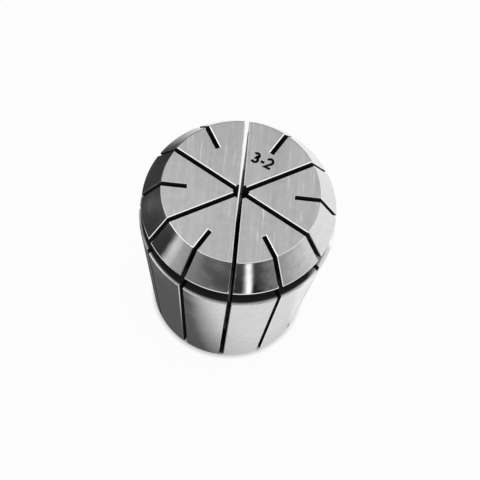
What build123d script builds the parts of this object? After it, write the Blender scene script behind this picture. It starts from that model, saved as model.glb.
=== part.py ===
"""Spring collet with a long locating taper and a slotted nose, turned and slit from one piece of spring steel.

The collet stands on its rear face: +Z is its axis and points to the nose, and the origin is the centre of the rear face.
Lengths are in millimetres and angles in degrees.
"""
from build123d import *

import os
from math import radians, sqrt, tan

# Outside form
overall_length = 46.0
taper_large_diameter = 41.0  # the widest ring, just behind the groove
taper_half_angle = 8.0
nose_half_angle = 30.0
nose_height = 6.5  # axial length of the nose cone, from its rim to the flat face
head_setback = 0.25  # the head's rim stands this far inside the widest ring
rim_height = 0.5  # short cylinder at the foot of the nose cone
groove_width = 3.9  # takes the clamping nut's puller ring
groove_depth = 2.5  # below the widest ring
groove_corner_radius = 0.6
taper_lead_chamfer = 0.6
face_corner_radius = 0.25
edge_radius = 0.12  # small rounding of the rim and of the taper's lead chamfer
rear_corner_radius = 1.2

# Bore
bore_diameter = 3.0
clamp_length = 20.0  # length of the bore that grips the shank, from the front face
bore_mouth_chamfer = 0.2
relief_point_half_angle = 59.0  # foot of the rear relief, left by the drill's point
relief_mouth_chamfer = 0.5

# Slots
slots_each_way = 6
slot_width = 0.92
saw_diameter = 63.0  # the slitting saw rounds the blind end of each front slot
rear_web = 2.0  # steel left between a front slot's outer end and the rear face
rear_slot_floor_diameter = 22.3  # a rear slot runs the whole length, and stops at this depth
relief_breakthrough = 0.6  # how far the relief is bored past the floors of the rear slots
edge_break = 0.15  # deburring of every slot edge on the outside

# What follows from them
pitch = 360 / slots_each_way
taper_slope = tan(radians(taper_half_angle))
head_diameter = taper_large_diameter - 2 * head_setback
face_diameter = head_diameter - 2 * nose_height * tan(radians(nose_half_angle))
groove_diameter = taper_large_diameter - 2 * groove_depth
head_underside = overall_length - nose_height - rim_height
groove_floor_side = head_underside - groove_width
taper_top = groove_floor_side - taper_lead_chamfer
rear_radius = taper_large_diameter / 2 - taper_top * taper_slope
relief_radius = rear_slot_floor_diameter / 2 + relief_breakthrough
relief_point_height = (relief_radius - bore_diameter / 2) / tan(radians(relief_point_half_angle))
relief_depth = overall_length - clamp_length - relief_point_height
reach = taper_large_diameter  # cutting tools extend this far past the outside


def taper_radius(z):
    """Radius of the locating taper at height z."""
    return taper_large_diameter / 2 - (taper_top - z) * taper_slope


def corner(face, radius, z):
    """The vertex of a section in the XZ plane that lies at this radius and height."""
    return face.vertices().sort_by_distance((radius, 0, z))[0]


def section():
    """Half section of the turned blank, from the bore to the outside."""
    bore_radius = bore_diameter / 2
    outline = Polyline(
        (relief_radius, 0, 0),
        (rear_radius, 0, 0),
        (taper_large_diameter / 2, 0, taper_top),
        (taper_large_diameter / 2 - taper_lead_chamfer, 0, groove_floor_side),
        (groove_diameter / 2, 0, groove_floor_side),
        (groove_diameter / 2, 0, head_underside),
        (head_diameter / 2, 0, head_underside),
        (head_diameter / 2, 0, head_underside + rim_height),
        (face_diameter / 2, 0, overall_length),
        (bore_radius, 0, overall_length),
        (bore_radius, 0, overall_length - clamp_length),
        (relief_radius, 0, relief_depth),
        close=True,
    )
    blank = make_face(outline)
    for radius, z, size in (
        (rear_radius, 0, rear_corner_radius),
        (groove_diameter / 2, groove_floor_side, groove_corner_radius),
        (groove_diameter / 2, head_underside, groove_corner_radius),
        (head_diameter / 2, head_underside, edge_radius),
        (taper_large_diameter / 2 - taper_lead_chamfer, groove_floor_side, edge_radius),
        (taper_large_diameter / 2, taper_top, edge_radius),
        (face_diameter / 2, overall_length, face_corner_radius),
    ):
        blank = fillet(corner(blank, radius, z), size)
    blank = chamfer(corner(blank, bore_radius, overall_length), bore_mouth_chamfer)
    return chamfer(corner(blank, relief_radius, 0), relief_mouth_chamfer)


def front_slot():
    """Cut of a saw fed in from the front face: it reaches the axis, and its blind end is the saw's own arc."""
    saw_radius = saw_diameter / 2
    end_offset = taper_radius(rear_web) - saw_radius
    saw_height = rear_web + sqrt(saw_radius**2 - end_offset**2)
    disc = Plane.XZ * Pos(saw_radius, saw_height) * Circle(saw_radius)
    travel = Plane.XZ * Pos(saw_radius, saw_height + reach) * Rectangle(saw_diameter, 2 * reach)
    return extrude(disc, slot_width / 2, both=True) + extrude(travel, slot_width / 2, both=True)


def rear_slot():
    """Cut of a saw run along the whole collet, down to the slot floor."""
    floor_radius = rear_slot_floor_diameter / 2
    corner_place = Pos(floor_radius, 0, -reach / 2)
    return corner_place * Box(
        reach, slot_width, overall_length + reach, align=(Align.MIN, Align.CENTER, Align.MIN)
    )


def edge_cut(start, end, normal):
    """Bevelled cut that deburrs both edges and the ends of a slot.

    The slot runs on the surface line from start to end in the XZ plane, and normal points out of that surface.
    """
    clear = edge_break  # the cut starts this far above the surface
    grow = edge_break + clear
    along = Vector(*end) - Vector(*start)
    middle = (Vector(*start) + Vector(*end)) / 2
    above = Plane(origin=middle + Vector(*normal) * clear, x_dir=along, z_dir=normal)
    mouth = above * Rectangle(along.length + 2 * grow, slot_width + 2 * grow)
    return extrude(mouth, -grow, taper=45)


def around(tool, first_angle):
    """Copies of a cutting tool at each slot of one set."""
    return [Rot(0, 0, first_angle + n * pitch) * tool for n in range(slots_each_way)]


def edge_cuts(inner_radius, slot_end):
    """Deburring of one slot on the face, the nose cone and the taper, down to height slot_end."""
    nose = radians(nose_half_angle)
    taper = radians(taper_half_angle)
    outward = Vector(1, 0, 0)
    face_normal = (0, 0, 1)
    nose_normal = outward.rotate(Axis.Y, -nose_half_angle)
    taper_normal = outward.rotate(Axis.Y, taper_half_angle)
    face_line = ((inner_radius, 0, overall_length), (reach, 0, overall_length))
    nose_line = (
        (face_diameter / 2 - reach * tan(nose), 0, overall_length + reach),
        (head_diameter / 2 + groove_width * tan(nose), 0, head_underside + rim_height - groove_width),
    )
    taper_line = (
        (taper_radius(slot_end), 0, slot_end),
        (taper_radius(head_underside), 0, head_underside),
    )
    return [
        edge_cut(*face_line, face_normal),
        edge_cut(*nose_line, nose_normal),
        edge_cut(*taper_line, taper_normal),
    ]


def rear_face_edge_cut():
    """Deburring of a rear slot where it leaves through the rear face."""
    line = ((rear_slot_floor_diameter / 2, 0, 0), (reach, 0, 0))
    return edge_cut(*line, (0, 0, -1))


def collet():
    """The whole collet: a turned blank, slit from both ends."""
    blank = revolve(section(), Axis.Z)
    front_set = [front_slot(), *edge_cuts(0, rear_web)]
    rear_set = [rear_slot(), *edge_cuts(rear_slot_floor_diameter / 2, -reach), rear_face_edge_cut()]
    first_front = -90
    for tools, first_angle in ((front_set, first_front), (rear_set, first_front + pitch / 2)):
        for tool in tools:
            blank -= around(tool, first_angle)
    return blank


os.makedirs("parts", exist_ok=True)
export_step(collet(), "parts/collet.step")
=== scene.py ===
"""Steel finish, clamping range mark, studio and camera for a slotted spring collet.

Blender add-on layout, run as a script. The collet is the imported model, which keeps its shape
and place.
"""

import math

import bpy
from bpy.props import FloatProperty, FloatVectorProperty, PointerProperty, StringProperty
from bpy.types import Operator, Panel, PropertyGroup
from mathutils import Matrix, Vector


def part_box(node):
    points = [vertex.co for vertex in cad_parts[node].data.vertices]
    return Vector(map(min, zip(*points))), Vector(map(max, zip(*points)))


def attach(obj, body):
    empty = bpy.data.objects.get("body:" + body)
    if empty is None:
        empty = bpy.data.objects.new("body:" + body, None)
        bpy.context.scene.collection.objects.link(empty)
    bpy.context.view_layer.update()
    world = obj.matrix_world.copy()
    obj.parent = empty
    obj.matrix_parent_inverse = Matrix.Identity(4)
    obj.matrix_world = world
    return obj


bl_info = {
    "name": "Spring collet finish",
    "version": (1, 0, 0),
    "blender": (4, 5, 0),
    "location": "3D View > Sidebar > Collet",
    "description": "Steel finish, clamping range mark and studio for a slotted spring collet",
    "category": "Material",
}

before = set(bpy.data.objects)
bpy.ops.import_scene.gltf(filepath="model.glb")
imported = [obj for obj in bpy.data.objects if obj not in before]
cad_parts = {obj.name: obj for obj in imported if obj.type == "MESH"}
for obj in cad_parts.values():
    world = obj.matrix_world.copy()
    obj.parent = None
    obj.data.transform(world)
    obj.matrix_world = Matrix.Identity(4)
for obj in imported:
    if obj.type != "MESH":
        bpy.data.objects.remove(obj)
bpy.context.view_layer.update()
COLLET = "collet"
LOW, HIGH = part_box(COLLET)
FACE_Z = HIGH.z
MM = 0.001

# Where the steel changes its look. Each pair is the start and the end of a soft step.
# Heights and distances are in metres. Up, outward and across are the parts of the surface's
# normal along the axis, away from it and round it.
FACE_UP = (0.97, 0.995)
FACE_HEIGHT = (FACE_Z - 0.4 * MM, FACE_Z - 0.2 * MM)
BEVEL_FROM_ACROSS = (0.25, 0.45)
BEVEL_TO_ACROSS = (0.75, 0.85)
# The steps below find the slot walls, the bore, the groove and the slot floors, which are painted
# dark as shade
WALL_ACROSS = (0.80, 0.92)
INSIDE_OUTWARD = (-0.45, -0.3)
INSIDE_UP = (0.9, 0.95)
GROOVE_FOOT = (34.60 * MM, 35.00 * MM)
GROOVE_TOP = (38.96 * MM, 39.02 * MM)
GROOVE_LIT_SIDE_X = (15.5 * MM, 18.5 * MM)
SLOT_FLOOR_UP = (0.1, 0.3)
SLOT_FLOOR_TOP = (34.0 * MM, 34.3 * MM)
BACK_SLOT_HALF_WIDTH = (0.55 * MM, 0.65 * MM)
BACK_SLOT_Y = (1.4 * MM, 1.8 * MM)

FACE_ROUGHNESS = 0.34
CONE_ROUGHNESS = 0.16
CONE_UNEVENNESS = 0.36
SMOOTHEST = 0.06
BEVEL_ROUGHNESS = 0.22
SLOT_ROUGHNESS = 0.8
BACK_SLOT_ROUGHNESS = 0.25
MARKS_DEPTH = 0.004 * MM
WAVES_DEPTH = 0.09 * MM

MARK_LIFT = 0.005 * MM
MITRE_LIMIT = 0.5

FLOOR_HALF_WIDTH = 2.0
FLOOR_GAP = 0.02 * MM
UNDER_COLLET = (15.0 * MM, 16.5 * MM)
CARD_LIFT = 0.3 * MM
CARD_STEP = 5

# Place and size of the two lights, in metres
KEY_LIGHT = ((0.12, -0.10, 1.00), (1.3, 1.3))
TOP_LIGHT = ((-0.20, 0.275, 0.58), (0.36, 0.30))
LIT_POINT = (0, 0, 0.025)

CAMERA_PLACE = (-0.014348, -0.349187, 0.701034)
CAMERA_RIGHT = (0.994247, 0.084126, 0.066297)
CAMERA_DOWN = (0.105140, -0.884718, -0.454115)
CAMERA_FORWARD = (0.020451, 0.458473, -0.888473)
SENSOR_WIDTH = 36
NEAREST_SEEN = 0.01

# Name, two corners on the floor, the points between which the strength changes, its two values
FLAT_CARDS = (
    ("left_cloth", (-0.200, -0.095), (-0.052, 0.250), (-0.2, 0), (0, 0), 0.05, 0.05),
    ("back_cloth", (-0.052, 0.040), (-0.012, 0.250), (-0.034, 0), (-0.013, 0), 0.04, 0.95),
    # Painted shadow: the two foot cards glow darkest next to the collet's foot, as its shadow on
    # the floor that only reflections see
    (
        "left_foot_card",
        (-0.032, -0.030), (0.0005, 0.030), (-0.0054, -0.0164), (-0.0022, -0.0246), 0.11, 0.90,
    ),
    (
        "right_foot_card",
        (0.0005, -0.030), (0.023, -0.007), (0.000, -0.015), (0.006, -0.021), 0.58, 0.84,
    ),
    ("front_floor_shade", (0.018, -0.280), (0.110, -0.052), (0, -0.28), (0, -0.05), 0.03, 0.03),
)

# Name, turn of the two ends in degrees, distance, bottom, top, and strength at the two ends
UPRIGHT_CARDS = (
    ("left_dark", -192, -157, 0.20, 0.00, 0.07, 0.06, 0.03),
    ("left_window_edge", -157, -152, 0.20, 0.00, 0.12, 0.03, 0.88),
    ("left_edge_light", -195, -152, 0.20, 0.075, 0.15, 1.50, 1.50),
    ("left_window", -152, -145, 0.20, 0.00, 0.12, 0.88, 0.65),
    ("left_grey", -145, -118, 0.20, 0.00, 0.12, 0.45, 0.15),
    ("front_dark", -124, -79, 0.30, 0.00, 0.14, 0.08, 0.03),
    ("front_window_left", -79, -75, 0.30, 0.00, 0.14, 0.03, 1.60),
    ("front_window", -75, -72.5, 0.30, 0.00, 0.14, 1.60, 1.60),
    ("front_window_right", -72.5, -70, 0.30, 0.00, 0.14, 1.60, 0.00),
    ("front_shade", -70, -41, 0.30, 0.00, 0.14, 0.00, 0.12),
    ("right_grey", -47, -5, 0.20, 0.00, 0.07, 0.32, 0.66),
    ("right_pale", -5, 12, 0.20, 0.00, 0.07, 0.68, 0.85),
    ("right_low_edge_light", -25, 9, 0.20, 0.075, 0.15, 1.50, 1.50),
    ("front_high_left", -150, -116, 0.50, 0.22, 0.36, 1.30, 1.30),
    ("front_high_right", -57, -23, 0.50, 0.22, 0.36, 1.30, 1.30),
    ("left_high", -190, -140, 0.30, 0.29, 0.52, 2.20, 2.20),
    ("right_edge_light", 10, 46, 0.50, 0.02, 0.20, 1.40, 1.40),
    ("back_dark", 55, 135, 0.50, 0.00, 0.40, 0.03, 0.03),
)


# Sizes and colours


def grey_setting(name, description, level):
    """A colour setting that starts as a grey."""
    return FloatVectorProperty(
        name=name,
        description=description,
        subtype="COLOR",
        size=3,
        min=0,
        max=1,
        default=(level, level, level),
    )


def share_setting(name, description, share):
    """A setting from 0 to 1."""
    return FloatProperty(
        name=name, description=description, default=share, min=0, max=1, subtype="FACTOR"
    )


def length_setting(name, description, length, low, high):
    """A length in metres, with its least and greatest value."""
    return FloatProperty(
        name=name,
        description=description,
        default=length,
        min=low,
        max=high,
        unit="LENGTH",
        precision=5,
    )


def power_setting(name, description, watts):
    """The power of a light."""
    return FloatProperty(name=name, description=description, default=watts, min=0, unit="POWER")


class ColletSteelSettings(PropertyGroup):
    """Colours and finish of the steel"""

    face_colour: grey_setting("Face", "Colour of the flat ground front face", 0.46)
    ground_colour: grey_setting(
        "Ground cones", "Colour of the ground nose cone and locating taper", 0.72
    )
    # Painted shade: near-black colour for the slot walls, the bore, the slot floors and the groove
    # away from its lit side
    painted_slot_shade: grey_setting(
        "Slot walls", "Colour of the unground walls of the slots, the groove and the bore", 0.03
    )
    edge_colour: grey_setting("Edges", "Colour of the small bright bevels", 0.9)
    grain: share_setting("Grinding marks", "Strength of the fine marks left by grinding", 0.5)


class ColletMarkSettings(PropertyGroup):
    """The clamping range etched on the front face"""

    text: StringProperty(
        name="Range",
        description="Largest and smallest shank in millimetres",
        default="3-2",
    )
    height: length_setting("Height", "Height of the digits", 2.15 * MM, 0.5 * MM, 4 * MM)
    line_width: length_setting(
        "Line width", "Width of the etched lines", 0.58 * MM, 0.05 * MM, 1 * MM
    )
    radius: length_setting(
        "Baseline radius",
        "Distance of the digits' baseline from the axis",
        7.48 * MM,
        3 * MM,
        14 * MM,
    )
    angle: FloatProperty(
        name="Angle",
        description="Where the mark stands round the axis",
        default=math.radians(69),
        unit="ROTATION",
    )
    shift: length_setting(
        "Shift", "Shift of the mark along its baseline", 0.83 * MM, -5 * MM, 5 * MM
    )
    colour: grey_setting("Colour", "Colour of the etched mark", 0.006)


class ColletStageSettings(PropertyGroup):
    """Floor, lights and camera"""

    floor_colour: grey_setting("Floor", "Colour of the plain floor", 0.86)
    room_colour: grey_setting("Room", "Colour of the room's dim light", 0.58)
    background: share_setting(
        "Background", "How much of the floor's own white the camera sees under the shadow", 0.94
    )
    key_power: power_setting(
        "Key light", "Power of the large light high above the collet", 2.8
    )
    top_power: power_setting(
        "Top light", "Power of the light above and behind, which the front face reflects", 0.115
    )
    lens: FloatProperty(
        name="Lens",
        description="Focal length of the camera",
        default=271.206,
        min=20,
        unit="CAMERA",
    )


# Shader nodes


class Nodes:
    """Short calls for building one node tree."""

    def __init__(self, tree):
        self.tree = tree
        self.tree.nodes.clear()
        self.column = 0

    def add(self, kind, inputs=None, **settings):
        node = self.tree.nodes.new(kind)
        for name, value in settings.items():
            setattr(node, name, value)
        self.column += 1
        node.location = (self.column * 190, -(self.column % 5) * 160)
        for key, value in (inputs or {}).items():
            self.put(node.inputs[key], value)
        return node

    def put(self, socket, value):
        """Link a socket to the input, or set the input's own number, vector or colour."""
        if isinstance(value, bpy.types.NodeSocket):
            self.tree.links.new(value, socket)
        elif socket.type == "RGBA":
            socket.default_value = (*value, 1)
        else:
            socket.default_value = value

    def math(self, operation, *values):
        node = self.add("ShaderNodeMath", operation=operation)
        for socket, value in zip(node.inputs, values):
            self.put(socket, value)
        return node.outputs[0]

    def times(self, first, *others):
        for other in others:
            first = self.math("MULTIPLY", first, other)
        return first

    def largest(self, first, *others):
        for other in others:
            first = self.math("MAXIMUM", first, other)
        return first

    def rise(self, value, start, end):
        """0 at start, 1 at end, straight between them."""
        node = self.add(
            "ShaderNodeMapRange", {"Value": value, "From Min": start, "From Max": end}, clamp=True
        )
        return node.outputs["Result"]

    def fall(self, value, start, end):
        """1 at start, 0 at end, straight between them."""
        return self.math("SUBTRACT", 1.0, self.rise(value, start, end))

    def vary(self, noise, amount):
        """A factor near 1 that follows the noise."""
        return self.math("MULTIPLY_ADD", noise, amount, 1.0 - amount / 2)

    def mix(self, factor, a, b):
        """A colour between a and b."""
        return self.add("ShaderNodeMix", {0: factor, 6: a, 7: b}, data_type="RGBA").outputs[2]

    def blend(self, factor, a, b):
        """A number between a and b."""
        return self.add("ShaderNodeMix", {0: factor, 2: a, 3: b}, data_type="FLOAT").outputs[0]

    def shade(self, colour, factor):
        """The colour times the factor."""
        node = self.add("ShaderNodeVectorMath", {0: colour, "Scale": factor}, operation="SCALE")
        return node.outputs[0]

    def noise(self, vector, scale, detail):
        inputs = {"Vector": vector, "Scale": scale, "Detail": detail}
        return self.add("ShaderNodeTexNoise", inputs).outputs[0]

    def streaks(self, vector, degrees, across, along, detail):
        """Noise drawn out in straight lines, turned by so many degrees from the Y axis."""
        turned = self.add(
            "ShaderNodeMapping",
            {
                "Vector": vector,
                "Rotation": (0, 0, math.radians(degrees)),
                "Scale": (across, along, along),
            },
        )
        return self.noise(turned.outputs[0], scale=1.0, detail=detail)

    def place(self, kind="Object"):
        return self.add("ShaderNodeTexCoord").outputs[kind]

    def split(self, vector):
        return self.add("ShaderNodeSeparateXYZ", {"Vector": vector}).outputs

    def surface(self, shader):
        self.add("ShaderNodeOutputMaterial", {"Surface": shader.outputs[0]})


def new_material(name):
    """A material with an empty node tree, and short calls for building it."""
    material = bpy.data.materials.new(name)
    material.use_nodes = True
    return material, Nodes(material.node_tree)


def round_the_axis_group():
    """Where a point of the collet lies, and which way its surface faces, told round the axis."""
    tree = bpy.data.node_groups.new("Round the axis", "ShaderNodeTree")
    for label in ("Height", "Radius", "Turn", "Up", "Outward", "Across"):
        tree.interface.new_socket(name=label, in_out="OUTPUT", socket_type="NodeSocketFloat")
    n = Nodes(tree)
    x, y, z = n.split(n.place())
    nx, ny, nz = n.split(n.add("ShaderNodeNewGeometry").outputs["True Normal"])
    radius = n.math("SQRT", n.math("ADD", n.times(x, x), n.times(y, y)))
    safe_radius = n.largest(radius, 1e-6)
    outward = n.math("ADD", n.times(x, nx), n.times(y, ny))
    across = n.math("SUBTRACT", n.times(x, ny), n.times(y, nx))
    results = {
        "Height": z,
        "Radius": radius,
        "Turn": n.math("ARCTAN2", y, x),
        "Up": nz,
        "Outward": n.math("DIVIDE", outward, safe_radius),
        "Across": n.math("ABSOLUTE", n.math("DIVIDE", across, safe_radius)),
    }
    n.add("NodeGroupOutput", results)
    return tree


def steel_regions(n, place, where):
    """Masks of the face, the bevels, the recesses painted dark as shade, and the smoother slot
    among these.
    """
    x, y, _ = n.split(place)
    height, up = where["Height"], where["Up"]
    outward, across = where["Outward"], where["Across"]

    on_face = n.times(n.rise(up, *FACE_UP), n.rise(height, *FACE_HEIGHT))
    bevel = n.times(n.rise(across, *BEVEL_FROM_ACROSS), n.fall(across, *BEVEL_TO_ACROSS))

    wall = n.rise(across, *WALL_ACROSS)
    inside = n.times(n.fall(outward, *INSIDE_OUTWARD), n.fall(up, *INSIDE_UP))
    slot_floor = n.times(n.rise(up, *SLOT_FLOOR_UP), n.fall(height, *SLOT_FLOOR_TOP))
    # The groove is painted dark as shade, except on its side towards +X, which is open to the
    # light
    in_groove = n.times(
        n.rise(height, *GROOVE_FOOT),
        n.fall(height, *GROOVE_TOP),
        n.fall(x, *GROOVE_LIT_SIDE_X),
    )
    # Painted shade: the recesses, where shade falls, are painted dark
    dark = n.largest(wall, inside, in_groove, slot_floor)

    # The slot towards +Y keeps a smoother wall, which shines at a glancing angle
    back_slot = n.times(
        n.fall(n.math("ABSOLUTE", x), *BACK_SLOT_HALF_WIDTH), n.rise(y, *BACK_SLOT_Y), dark
    )
    return on_face, bevel, dark, back_slot


def steel_material(steel):
    """Ground spring steel: satin face, polished cones, bright bevels, and painted shade in the
    slots, the bore and the groove.
    """
    material, n = new_material("ground spring steel")
    where = n.add("ShaderNodeGroup", node_tree=round_the_axis_group()).outputs
    place = n.place()
    on_face, bevel, dark, back_slot = steel_regions(n, place, where)

    cloud = n.noise(place, scale=120.0, detail=3.0)
    mottle = n.noise(place, scale=700.0, detail=3.0)

    # Straight marks of surface grinding on the face, and sparse brighter scratches among them
    fine = n.streaks(place, degrees=3, across=1400, along=45, detail=4.0)
    wide = n.streaks(place, degrees=3, across=180, along=20, detail=2.0)
    scratches = n.streaks(place, degrees=6, across=2600, along=160, detail=3.0)
    scratches = n.times(n.rise(scratches, 0.58, 0.72), n.rise(cloud, 0.42, 0.62))
    face_shade = n.math(
        "MULTIPLY_ADD", scratches, 0.9 * steel.grain, n.vary(fine, 0.6 * steel.grain)
    )
    face_shade = n.times(
        face_shade, n.vary(mottle, 0.5 * steel.grain), n.vary(wide, 0.7 * steel.grain)
    )

    # Rings left by cylindrical grinding on the cones
    ring_place = n.add(
        "ShaderNodeCombineXYZ",
        {
            "X": n.times(where["Turn"], 2.0),
            "Y": n.times(where["Height"], 6000.0),
            "Z": n.times(where["Radius"], 900.0),
        },
    )
    rings = n.noise(ring_place.outputs[0], scale=1.0, detail=3.0)
    cone_shade = n.times(n.vary(rings, 0.2 * steel.grain), n.vary(mottle, 0.4 * steel.grain))

    base = n.mix(on_face, tuple(steel.ground_colour), tuple(steel.face_colour))
    colour = n.shade(base, n.blend(on_face, cone_shade, face_shade))
    colour = n.mix(bevel, colour, tuple(steel.edge_colour))
    # Painted shade: the recesses take the near-black colour
    colour = n.mix(dark, colour, tuple(steel.painted_slot_shade))

    # The cones are polished unevenly
    rough = n.math(
        "MULTIPLY_ADD", cloud, CONE_UNEVENNESS, CONE_ROUGHNESS - CONE_UNEVENNESS / 2
    )
    rough = n.largest(n.blend(on_face, rough, FACE_ROUGHNESS), SMOOTHEST)
    rough = n.blend(bevel, rough, BEVEL_ROUGHNESS)
    rough = n.blend(dark, rough, n.blend(back_slot, SLOT_ROUGHNESS, BACK_SLOT_ROUGHNESS))

    waves = n.add(
        "ShaderNodeBump",
        {
            "Height": n.times(cloud, n.math("SUBTRACT", 1.0, on_face)),
            "Strength": 1.0,
            "Distance": WAVES_DEPTH,
        },
    )
    marks = n.add(
        "ShaderNodeBump",
        {
            "Height": n.blend(on_face, rings, fine),
            "Strength": 0.25,
            "Distance": MARKS_DEPTH,
            "Normal": waves.outputs[0],
        },
    )
    lay = n.add("ShaderNodeTangent", direction_type="RADIAL", axis="Z")
    shader = n.add(
        "ShaderNodeBsdfPrincipled",
        {
            "Base Color": colour,
            "Metallic": n.largest(n.math("SUBTRACT", 1.0, dark), back_slot),
            "Roughness": rough,
            "Normal": marks.outputs[0],
            "Specular IOR Level": 0.0,
            "Anisotropic": 0.5,
            "Anisotropic Rotation": 0.25,
            "Tangent": lay.outputs[0],
        },
    )
    n.surface(shader)
    return material


def mark_material(mark):
    """Etched mark: a thin dark oxide, a little uneven."""
    material, n = new_material("etched mark")
    speckle = n.noise(n.place(), scale=9000.0, detail=2.0)
    shader = n.add(
        "ShaderNodeBsdfPrincipled",
        {
            "Base Color": n.shade(tuple(mark.colour), n.math("MULTIPLY_ADD", speckle, 1.2, 0.4)),
            "Roughness": n.math("MULTIPLY_ADD", speckle, 0.2, 0.5),
            "Specular IOR Level": 0.0,
        },
    )
    n.surface(shader)
    return material


def floor_material(stage):
    """Plain pale floor, seen close to white with the collet's soft shadow, and dark beneath it."""
    material, n = new_material("plain floor")
    place = n.place()
    tint = n.vary(n.noise(place, scale=60.0, detail=2.0), 0.02)
    lit = n.add(
        "ShaderNodeBsdfPrincipled",
        {"Base Color": n.shade(tuple(stage.floor_colour), tint), "Roughness": 0.8},
    )
    white = n.add("ShaderNodeEmission", {"Color": (1, 1, 1), "Strength": 1.0})
    path = n.add("ShaderNodeLightPath").outputs
    seen = n.largest(path["Is Camera Ray"], path["Is Glossy Ray"], path["Is Transmission Ray"])
    from_axis = n.add("ShaderNodeVectorMath", {0: place}, operation="LENGTH").outputs["Value"]
    paper = n.add(
        "ShaderNodeMixShader",
        {
            0: n.times(seen, n.rise(from_axis, *UNDER_COLLET), stage.background),
            1: lit.outputs[0],
            2: white.outputs[0],
        },
    )
    n.surface(paper)
    return material


def card_material(name, start, end):
    """A studio card that shines by itself, from its start strength to its end strength."""
    material, n = new_material(name)
    along = n.split(n.place("UV"))["X"]
    strength = n.blend(n.rise(along, 0, 1), start, end)
    n.surface(n.add("ShaderNodeEmission", {"Color": (1, 1, 1), "Strength": strength}))
    return material


# Pieces


def add_mesh(context, name, points, faces, material):
    """A new object in the scene, of one mesh with one material."""
    mesh = bpy.data.meshes.new(name)
    mesh.from_pydata(points, [], faces)
    mesh.materials.append(material)
    piece = bpy.data.objects.new(name, mesh)
    context.scene.collection.objects.link(piece)
    return piece


def line_outline(points, width):
    """Outline of a line of this width through the points, with mitred corners."""
    left, right = [], []
    last = len(points) - 1
    for i, point in enumerate(points):
        before = (point - points[i - 1]).normalized() if i else None
        after = (points[i + 1] - point).normalized() if i < last else None
        straight = after or before
        along = ((before or after) + straight).normalized()
        side = Vector((-along.y, along.x))
        lean = side.dot(Vector((-straight.y, straight.x)))
        reach = width / 2 / max(lean, MITRE_LIMIT)
        left.append(point + side * reach)
        right.append(point - side * reach)
    return left + right[::-1]


def arc(centre, across, up, start, end, steps=14):
    """Points on an ellipse's arc, angles in degrees."""
    turns = [math.radians(start + (end - start) * i / steps) for i in range(steps + 1)]
    return [
        Vector((centre[0] + across * math.cos(t), centre[1] + up * math.sin(t))) for t in turns
    ]


# Each character's line, on a field 0.62 wide and 1 high
CHARACTER_LINES = {
    "3": arc((0.29, 0.75), 0.25, 0.25, 155, -80) + arc((0.29, 0.27), 0.29, 0.27, 80, -150),
    "2": arc((0.30, 0.71), 0.28, 0.29, 165, -35) + [Vector((0.03, 0.0)), Vector((0.62, 0.0))],
    "-": [Vector((0.08, 0.36)), Vector((0.46, 0.36))],
}
# How far the next character stands, and the blank part of that after the last one
ADVANCE = {"3": 0.80, "-": 0.62, "2": 0.80}
LAST_BLANK = 0.18


class COLLET_OT_steel(Operator):
    """Give the collet its ground spring steel"""

    bl_idname = "collet.steel"
    bl_label = "Steel"

    def execute(self, context):
        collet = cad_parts[COLLET]
        material = steel_material(context.scene.collet_steel)
        for slot in collet.material_slots:
            slot.link = "OBJECT"
            slot.material = material
        return {"FINISHED"}


class COLLET_OT_mark(Operator):
    """Etch the clamping range on the front face"""

    bl_idname = "collet.mark"
    bl_label = "Range mark"

    def execute(self, context):
        mark = context.scene.collet_mark
        width = sum(ADVANCE[character] for character in mark.text) - LAST_BLANK
        radial = Vector((math.cos(mark.angle), math.sin(mark.angle)))
        along = Vector((radial.y, -radial.x))
        points, faces = [], []
        start = -width / 2
        for character in mark.text:
            line = [Vector((p.x + start, p.y)) * mark.height for p in CHARACTER_LINES[character]]
            outline = line_outline(line, mark.line_width)
            faces.append(list(range(len(points), len(points) + len(outline)))[::-1])
            for p in outline:
                flat = along * (p.x + mark.shift) + radial * (mark.radius + p.y)
                points.append((flat.x, flat.y, FACE_Z + MARK_LIFT))
            start += ADVANCE[character]
        piece = add_mesh(context, "range_mark", points, faces, mark_material(mark))
        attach(piece, "root")
        return {"FINISHED"}


def add_area_light(context, name, place, size, power):
    """A rectangular light at place that shines at the collet."""
    lamp = bpy.data.lights.new(name, "AREA")
    lamp.shape = "RECTANGLE"
    lamp.size, lamp.size_y = size
    lamp.energy = power
    light = bpy.data.objects.new(name, lamp)
    turn = (Vector(LIT_POINT) - Vector(place)).to_track_quat("-Z", "Y").to_matrix().to_4x4()
    light.matrix_world = Matrix.Translation(place) @ turn
    context.scene.collection.objects.link(light)


def add_card(context, name, points, faces, along, start, end):
    """A card that only reflections see.

    along tells how far each point lies from where the strength is start to where it is end.
    """
    card = add_mesh(context, name, points, faces, card_material(name, start, end))
    layer = card.data.uv_layers.new(name="along")
    for loop in card.data.loops:
        layer.data[loop.index].uv = (along[loop.vertex_index], 0)
    card.visible_camera = False
    card.visible_diffuse = False
    card.visible_shadow = False
    card.visible_transmission = False


def add_upright_card(context, name, turn, end_turn, distance, low, high, start, end):
    """Card bent round the collet: turns in degrees, lengths in metres."""
    steps = max(2, int((end_turn - turn) / CARD_STEP))
    points, along = [], []
    for i in range(steps + 1):
        t = math.radians(turn + (end_turn - turn) * i / steps)
        points += [(distance * math.cos(t), distance * math.sin(t), z) for z in (low, high)]
        along += [i / steps] * 2
    faces = [(2 * i, 2 * i + 1, 2 * i + 3, 2 * i + 2) for i in range(steps)]
    add_card(context, name, points, faces, along, start, end)


def add_flat_card(context, name, low, high, start_place, end_place, start, end):
    """Card lying just above the floor between two corners."""
    corners = (low, (high[0], low[1]), high, (low[0], high[1]))
    points = [(*corner, CARD_LIFT) for corner in corners]
    origin = Vector(start_place)
    way = Vector(end_place) - origin
    along = [(Vector(corner) - origin).dot(way) / way.length_squared for corner in corners]
    add_card(context, name, points, [(0, 1, 2, 3)], along, start, end)


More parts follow.
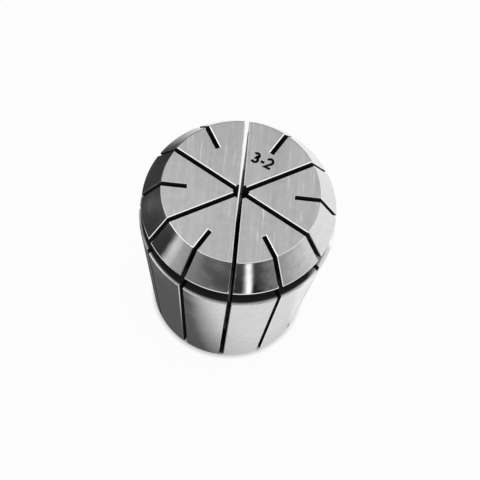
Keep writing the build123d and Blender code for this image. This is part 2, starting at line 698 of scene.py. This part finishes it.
def add_floor(context, stage):
    """The wide plain floor under the collet."""
    h = FLOOR_HALF_WIDTH
    corners = [(-h, -h, 0), (h, -h, 0), (h, h, 0), (-h, h, 0)]
    floor = add_mesh(context, "floor", corners, [(0, 1, 2, 3)], floor_material(stage))
    floor.location.z = LOW.z - FLOOR_GAP


def add_room(context, stage):
    """The dim even light of the room."""
    world = bpy.data.worlds.new("room")
    world.use_nodes = True
    n = Nodes(world.node_tree)
    light = n.add("ShaderNodeBackground", {"Color": tuple(stage.room_colour), "Strength": 1.0})
    n.add("ShaderNodeOutputWorld", {"Surface": light.outputs[0]})
    context.scene.world = world


def add_camera(context, stage):
    """The camera, looking down on the front face."""
    data = bpy.data.cameras.new("camera")
    data.sensor_fit = "HORIZONTAL"
    data.sensor_width = SENSOR_WIDTH
    data.lens = stage.lens
    data.clip_start = NEAREST_SEEN
    camera = bpy.data.objects.new("camera", data)
    axes = (Vector(CAMERA_RIGHT), -Vector(CAMERA_DOWN), -Vector(CAMERA_FORWARD))
    turn = Matrix(axes).transposed().to_4x4()
    camera.matrix_world = Matrix.Translation(CAMERA_PLACE) @ turn
    context.scene.collection.objects.link(camera)
    context.scene.camera = camera


class COLLET_OT_stage(Operator):
    """Add the floor, the studio light and the camera"""

    bl_idname = "collet.stage"
    bl_label = "Stage"

    def execute(self, context):
        stage = context.scene.collet_stage
        add_floor(context, stage)
        add_area_light(context, "key_light", *KEY_LIGHT, stage.key_power)
        add_area_light(context, "top_light", *TOP_LIGHT, stage.top_power)
        for card in FLAT_CARDS:
            add_flat_card(context, *card)
        for card in UPRIGHT_CARDS:
            add_upright_card(context, *card)
        add_room(context, stage)
        add_camera(context, stage)
        context.scene.view_settings.view_transform = "Standard"
        return {"FINISHED"}


class COLLET_PT_sidebar(Panel):
    """The collet's pieces, finish and stage"""

    bl_idname = "COLLET_PT_sidebar"
    bl_label = "Spring collet"
    bl_space_type = "VIEW_3D"
    bl_region_type = "UI"
    bl_category = "Collet"

    def draw(self, context):
        layout = self.layout
        scene = context.scene
        for settings, operator in (
            (scene.collet_steel, COLLET_OT_steel),
            (scene.collet_mark, COLLET_OT_mark),
            (scene.collet_stage, COLLET_OT_stage),
        ):
            box = layout.box()
            for name in settings.__annotations__:
                box.prop(settings, name)
            box.operator(operator.bl_idname)


OPERATORS = (COLLET_OT_steel, COLLET_OT_mark, COLLET_OT_stage)
SETTINGS = (
    ("collet_steel", ColletSteelSettings),
    ("collet_mark", ColletMarkSettings),
    ("collet_stage", ColletStageSettings),
)


def register():
    for name, settings in SETTINGS:
        bpy.utils.register_class(settings)
        setattr(bpy.types.Scene, name, PointerProperty(type=settings))
    for operator in OPERATORS:
        bpy.utils.register_class(operator)
    bpy.utils.register_class(COLLET_PT_sidebar)


def unregister():
    bpy.utils.unregister_class(COLLET_PT_sidebar)
    for operator in reversed(OPERATORS):
        bpy.utils.unregister_class(operator)
    for name, settings in reversed(SETTINGS):
        delattr(bpy.types.Scene, name)
        bpy.utils.unregister_class(settings)


def main():
    register()
    bpy.ops.collet.steel()
    bpy.ops.collet.mark()
    bpy.ops.collet.stage()


if __name__ == "__main__":
    main()
